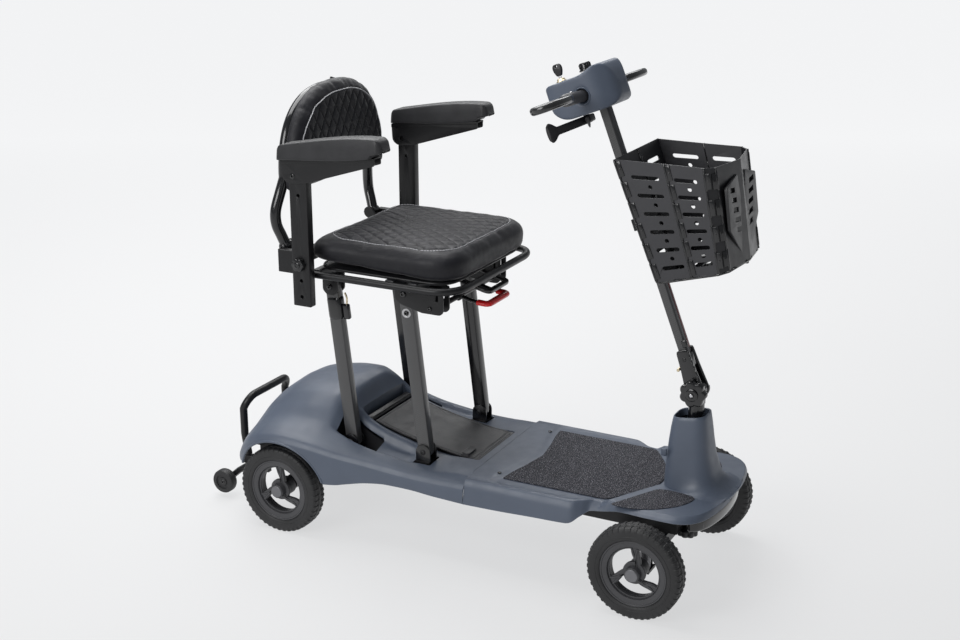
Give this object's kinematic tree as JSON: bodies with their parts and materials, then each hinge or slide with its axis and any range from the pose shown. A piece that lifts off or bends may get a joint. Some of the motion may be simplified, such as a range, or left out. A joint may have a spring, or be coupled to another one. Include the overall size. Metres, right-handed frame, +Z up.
{
  "type": "mobility scooter",
  "caption": "Folding four-wheel mobility scooter: seat with flip-up armrests and folding back, steered tiller with loop grips, and a lift-off basket.",
  "frame": {"origin": "middle of the footprint of the bounding box, on the ground plane the tyres stand on", "axes": "+Z up, -Y forward (towards the tiller), +X towards the rider's left-hand side"},
  "size_m": [0.5274, 1.2472, 1.0735],
  "materials": {
    "cover_slate": "satin slate-grey moulded plastic",
    "frame_black": "black powder coat",
    "trim_black": "fine-grained black plastic",
    "mat_grip": "coarse speckled anti-slip sheet",
    "tyre_black": "black puncture-proof rubber",
    "upholstery": "black vinyl, quilted with pale stitching",
    "lever_red": "red gloss plastic"
  },
  "bodies": {
    "chassis": {"chassis_frame": "frame_black", "front_axle_beam": "frame_black", "transaxle": "frame_black", "controller_box": "trim_black", "rear_handle": "frame_black", "anti_tip_bar": "frame_black", "front_bumper": "trim_black", "floor_shell": "cover_slate", "column_shroud": "cover_slate", "floor_mat": "mat_grip", "rear_cowl": "cover_slate"},
    "steering": {"steering_column": "frame_black"},
    "tie_rod": {"tie_rod": "frame_black"},
    "tiller": {"tiller_mast": "frame_black", "tiller_head": "cover_slate", "handlebar_right": "trim_black", "handlebar_left": "trim_black", "basket_bracket": "frame_black"},
    "tilt_knob": {"tilt_knob": "trim_black"},
    "throttle": {"throttle_lever": "trim_black"},
    "ignition_key": {"ignition_key": "trim_black"},
    "speed_dial": {"speed_dial": "trim_black"},
    "basket": {"basket": "trim_black", "basket_lamp": "trim_black"},
    "battery": {"battery_pack": "trim_black", "battery_lid": "trim_black"},
    "battery_latch": {"battery_latch": "trim_black"},
    "front_legs": {"front_leg_right": "frame_black", "front_leg_left": "frame_black"},
    "rear_legs": {"rear_leg_right": "frame_black", "rear_leg_left": "frame_black"},
    "seat": {"seat_frame": "frame_black", "seat_cushion": "upholstery", "seat_crossbar": "frame_black"},
    "release_lever": {"release_lever": "lever_red"},
    "backrest": {"backrest_frame": "frame_black", "backrest_pad": "upholstery"},
    "knuckle_right": {"knuckle_right": "frame_black"},
    "front_wheel_right": {"tyre_front_right": "tyre_black", "rim_front_right": "trim_black"},
    "rear_wheel_right": {"tyre_rear_right": "tyre_black", "rim_rear_right": "trim_black"},
    "anti_tip_wheel_right": {"anti_tip_wheel_right": "tyre_black"},
    "chassis_knob_right": {"chassis_knob_right": "trim_black"},
    "armrest_post_right": {"armrest_post_right": "frame_black"},
    "armrest_right": {"armrest_bracket_right": "frame_black", "armrest_pad_right": "trim_black"},
    "armrest_knob_right": {"armrest_knob_right": "trim_black"},
    "knuckle_left": {"knuckle_left": "frame_black"},
    "front_wheel_left": {"tyre_front_left": "tyre_black", "rim_front_left": "trim_black"},
    "rear_wheel_left": {"tyre_rear_left": "tyre_black", "rim_rear_left": "trim_black"},
    "anti_tip_wheel_left": {"anti_tip_wheel_left": "tyre_black"},
    "chassis_knob_left": {"chassis_knob_left": "trim_black"},
    "armrest_post_left": {"armrest_post_left": "frame_black"},
    "armrest_left": {"armrest_bracket_left": "frame_black", "armrest_pad_left": "trim_black"},
    "armrest_knob_left": {"armrest_knob_left": "trim_black"}
  },
  "joints": [
    {"name": "steering_turn", "type": "hinge", "parent": "chassis", "child": "steering", "pos_m": [0, -0.51593, 0.24], "axis": [0, 0, 1], "range_deg": [-35, 35]},
    {"name": "tie_rod_pivot", "type": "hinge", "parent": "steering", "child": "tie_rod", "pos_m": [0, -0.46593, 0.135], "axis": [0, 0, 1], "range_deg": [-40, 40]},
    {"name": "tiller_tilt", "type": "hinge", "parent": "steering", "child": "tiller", "pos_m": [0, -0.51693, 0.418], "axis": [1, 0, 0], "range_deg": [-28, 20]},
    {"name": "tilt_knob_turn", "type": "hinge", "parent": "tiller", "child": "tilt_knob", "pos_m": [0, -0.51693, 0.418], "axis": [1, 0, 0], "continuous": true},
    {"name": "throttle_swing", "type": "hinge", "parent": "tiller", "child": "throttle", "pos_m": [0, -0.25459, 0.96615], "axis": [0, 0.3633, 0.9317], "range_deg": [-20, 20], "stiffness_Nm_per_rad": 0.6},
    {"name": "key_turn", "type": "hinge", "parent": "tiller", "child": "ignition_key", "pos_m": [-0.03, -0.21332, 1.03485], "axis": [0, 0.3633, 0.9317], "range_deg": [0, 90]},
    {"name": "speed_dial_turn", "type": "hinge", "parent": "tiller", "child": "speed_dial", "pos_m": [0, -0.25652, 1.04654], "axis": [0, 0.3633, 0.9317], "range_deg": [-135, 135]},
    {"name": "basket_lift", "type": "slide", "parent": "tiller", "child": "basket", "axis": [0, 0.3633, 0.9317], "range_m": [0, 0.05]},
    {"name": "battery_lift", "type": "slide", "parent": "chassis", "child": "battery", "axis": [0, 0, 1], "range_m": [0, 0.12]},
    {"name": "battery_latch_press", "type": "slide", "parent": "battery", "child": "battery_latch", "axis": [0, 0, -1], "range_m": [0, 0.004], "stiffness_N_per_m": 400},
    {"name": "seat_fold", "type": "hinge", "parent": "chassis", "child": "front_legs", "pos_m": [0, 0.04367, 0.2258], "axis": [1, 0, 0], "range_deg": [0, 76]},
    {"name": "rear_legs_fold", "type": "hinge", "parent": "chassis", "child": "rear_legs", "pos_m": [0, 0.22607, 0.2166], "axis": [1, 0, 0], "range_deg": [0, 76]},
    {"name": "seat_level", "type": "hinge", "parent": "front_legs", "child": "seat", "pos_m": [0, 0.08567, 0.5763], "axis": [1, 0, 0], "range_deg": [-76, 0]},
    {"name": "release_squeeze", "type": "hinge", "parent": "seat", "child": "release_lever", "pos_m": [0, 0.00607, 0.557], "axis": [-1, 0, 0], "range_deg": [0, 12], "stiffness_Nm_per_rad": 1.5},
    {"name": "backrest_fold", "type": "hinge", "parent": "seat", "child": "backrest", "pos_m": [0, 0.35407, 0.655], "axis": [1, 0, 0], "range_deg": [0, 54]},
    {"name": "knuckle_turn_right", "type": "hinge", "parent": "chassis", "child": "knuckle_right", "pos_m": [-0.165, -0.47863, 0.11], "axis": [0, 0, 1], "range_deg": [-40, 40]},
    {"name": "front_wheel_spin_right", "type": "hinge", "parent": "knuckle_right", "child": "front_wheel_right", "pos_m": [-0.2165, -0.47863, 0.1], "axis": [1, 0, 0], "continuous": true},
    {"name": "rear_wheel_spin_right", "type": "hinge", "parent": "chassis", "child": "rear_wheel_right", "pos_m": [-0.2085, 0.37077, 0.1], "axis": [1, 0, 0], "continuous": true},
    {"name": "anti_tip_wheel_spin_right", "type": "hinge", "parent": "chassis", "child": "anti_tip_wheel_right", "pos_m": [-0.1265, 0.59507, 0.0385], "axis": [1, 0, 0], "continuous": true},
    {"name": "chassis_knob_turn_right", "type": "hinge", "parent": "chassis", "child": "chassis_knob_right", "pos_m": [-0.084, -0.53693, 0.149], "axis": [0, 0, 1], "continuous": true},
    {"name": "armrest_height_right", "type": "slide", "parent": "seat", "child": "armrest_post_right", "axis": [0, 0, 1], "range_m": [0, 0.067]},
    {"name": "armrest_flip_right", "type": "hinge", "parent": "armrest_post_right", "child": "armrest_right", "pos_m": [-0.2226, 0.29107, 0.825], "axis": [-1, 0, 0], "range_deg": [0, 95]},
    {"name": "armrest_knob_turn_right", "type": "hinge", "parent": "seat", "child": "armrest_knob_right", "pos_m": [-0.2326, 0.28407, 0.637], "axis": [1, 0, 0], "continuous": true},
    {"name": "knuckle_turn_left", "type": "hinge", "parent": "chassis", "child": "knuckle_left", "pos_m": [0.165, -0.47863, 0.11], "axis": [0, 0, 1], "range_deg": [-40, 40]},
    {"name": "front_wheel_spin_left", "type": "hinge", "parent": "knuckle_left", "child": "front_wheel_left", "pos_m": [0.2165, -0.47863, 0.1], "axis": [1, 0, 0], "continuous": true},
    {"name": "rear_wheel_spin_left", "type": "hinge", "parent": "chassis", "child": "rear_wheel_left", "pos_m": [0.2085, 0.37077, 0.1], "axis": [1, 0, 0], "continuous": true},
    {"name": "anti_tip_wheel_spin_left", "type": "hinge", "parent": "chassis", "child": "anti_tip_wheel_left", "pos_m": [0.1265, 0.59507, 0.0385], "axis": [1, 0, 0], "continuous": true},
    {"name": "chassis_knob_turn_left", "type": "hinge", "parent": "chassis", "child": "chassis_knob_left", "pos_m": [0.084, -0.53693, 0.149], "axis": [0, 0, 1], "continuous": true},
    {"name": "armrest_height_left", "type": "slide", "parent": "seat", "child": "armrest_post_left", "axis": [0, 0, 1], "range_m": [0, 0.067]},
    {"name": "armrest_flip_left", "type": "hinge", "parent": "armrest_post_left", "child": "armrest_left", "pos_m": [0.2226, 0.29107, 0.825], "axis": [-1, 0, 0], "range_deg": [0, 95]},
    {"name": "armrest_knob_turn_left", "type": "hinge", "parent": "seat", "child": "armrest_knob_left", "pos_m": [0.2326, 0.28407, 0.637], "axis": [1, 0, 0], "continuous": true}
  ],
  "couplings": [
    {"joint": "tie_rod_pivot", "follows": "steering_turn", "ratio": -1},
    {"joint": "knuckle_turn_right", "follows": "steering_turn", "ratio": 1},
    {"joint": "knuckle_turn_left", "follows": "steering_turn", "ratio": 1},
    {"joint": "rear_legs_fold", "follows": "seat_fold", "ratio": 1},
    {"joint": "seat_level", "follows": "seat_fold", "ratio": -1}
  ]
}
